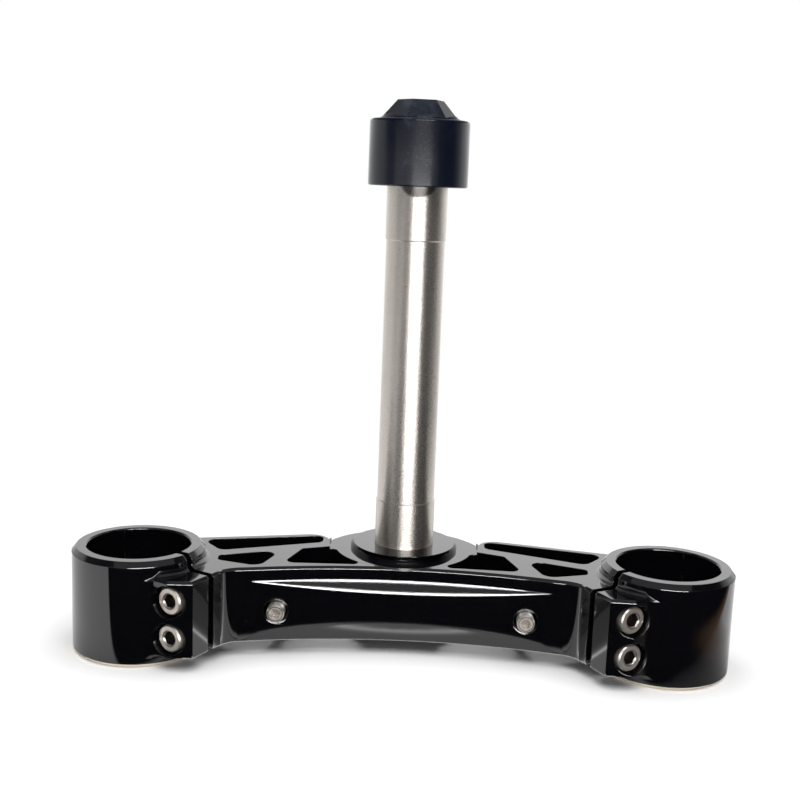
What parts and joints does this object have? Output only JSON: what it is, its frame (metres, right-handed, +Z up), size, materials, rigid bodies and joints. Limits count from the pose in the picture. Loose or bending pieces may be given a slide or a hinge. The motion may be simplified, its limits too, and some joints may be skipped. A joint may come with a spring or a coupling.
{
  "type": "motorcycle_triple_clamp",
  "caption": "Lower triple clamp for a motorcycle fork: black machined bridge with split fork collars, pinch bolts, steel steering stem, dust shield and black stem nut",
  "frame": {"origin": "on the steering axis, in the plane that both fork collars stand on", "axes": "+X runs across the two fork bores, -Y is the front with the bolt heads, +Z runs up the stem"},
  "size_m": [0.317, 0.1013, 0.2647],
  "materials": {
    "black_anodised": "polished black anodising, reflects its surroundings almost like glass",
    "black_nut": "black anodising, a little duller than the clamp, with a light haze of dust",
    "black_shield": "glossy black, bright along its bevelled rim",
    "stem_steel": "satin, finely blasted steel with two thin turned lines",
    "bolt_steel": "bright stainless with turned end faces"
  },
  "bodies": {
    "root": {"clamp_body": "black_anodised", "stem": "stem_steel", "dust_shield": "black_shield", "stem_nut": "black_nut", "pinch_bolts": "bolt_steel", "bracket_screws": "bolt_steel", "bracket_washers": "black_shield"}
  },
  "joints": []
}
